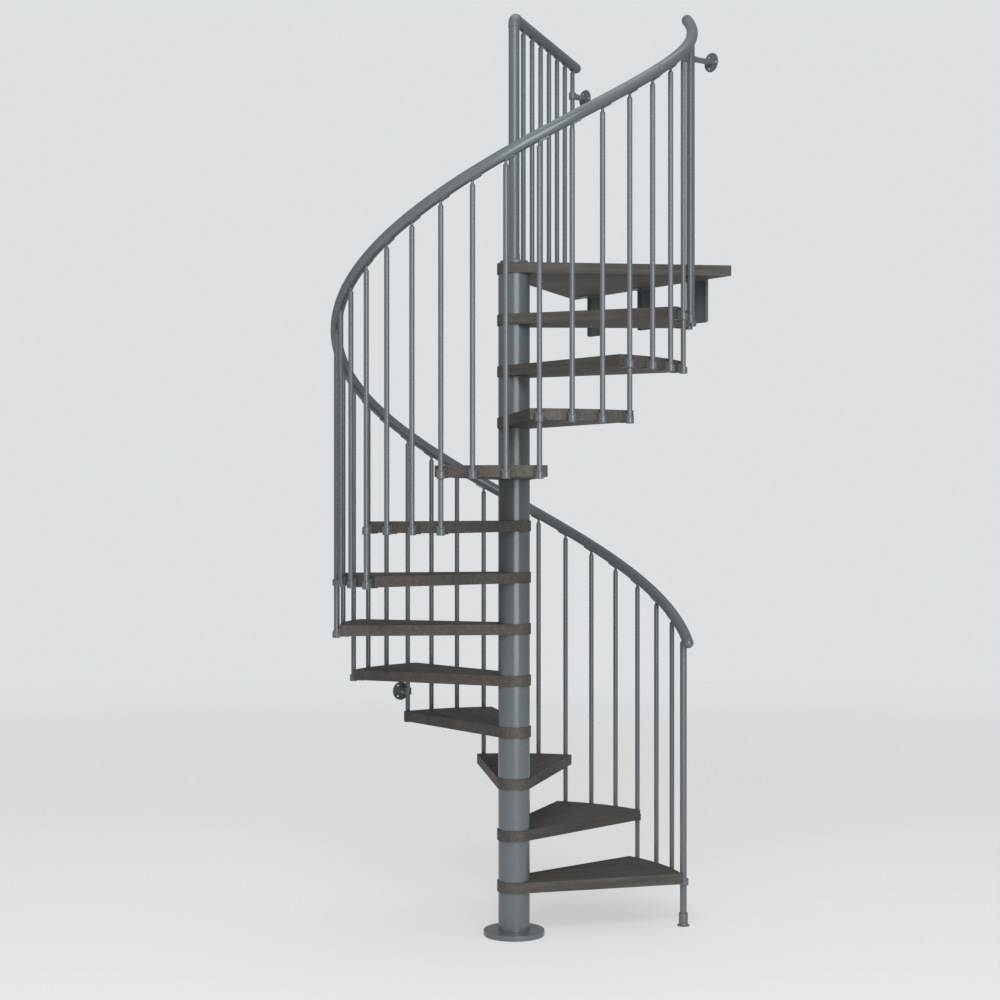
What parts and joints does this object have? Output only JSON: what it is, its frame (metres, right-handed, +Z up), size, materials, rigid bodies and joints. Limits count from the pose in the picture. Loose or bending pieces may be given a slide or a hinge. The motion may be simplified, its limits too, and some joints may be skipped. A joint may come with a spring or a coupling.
{
  "type": "spiral staircase",
  "caption": "Narrow spiral staircase for a wall corner: wedge treads on a tubular column, a straight-edged landing, slim balusters and a winding tubular handrail.",
  "frame": {"origin": "on the floor at the column's axis, on the base plate's underside", "axes": "+Z up along the column, +X towards the wall that carries the landing's brackets, +Y towards the wall that carries the lower flange"},
  "size_m": [1.4974, 1.4974, 3.7878],
  "materials": {
    "metal": "satin blue-grey powder coat",
    "wood": "satin dark grey-brown stain, fine grain lengthwise"
  },
  "bodies": {
    "root": {"base_plate": "metal", "column_pole": "metal", "column_spacers": "metal", "tread_01": "wood", "tread_02": "wood", "tread_03": "wood", "tread_04": "wood", "tread_05": "wood", "tread_06": "wood", "tread_07": "wood", "tread_08": "wood", "tread_09": "wood", "tread_10": "wood", "tread_11": "wood", "tread_12": "wood", "landing": "wood", "landing_washer": "metal", "sockets_lower": "metal", "sockets_middle": "metal", "sockets_upper": "metal", "balusters_lower": "metal", "balusters_middle": "metal", "balusters_upper": "metal", "newel_post": "metal", "newel_foot": "metal", "newel_clamp": "metal", "handrail_1": "metal", "handrail_2": "metal", "handrail_3": "metal", "handrail_4": "metal", "handrail_rings": "metal", "handrail_caps": "metal", "handrail_saddles": "metal", "guard_post": "metal", "guard_elbow": "metal", "guard_rail": "metal", "guard_cap": "metal", "guard_balusters": "metal", "guard_feet": "metal", "guard_saddles": "metal", "landing_brackets": "metal", "wall_fixing_lower": "metal", "wall_fixing_upper": "metal", "wall_fixing_guard": "metal"}
  },
  "joints": []
}
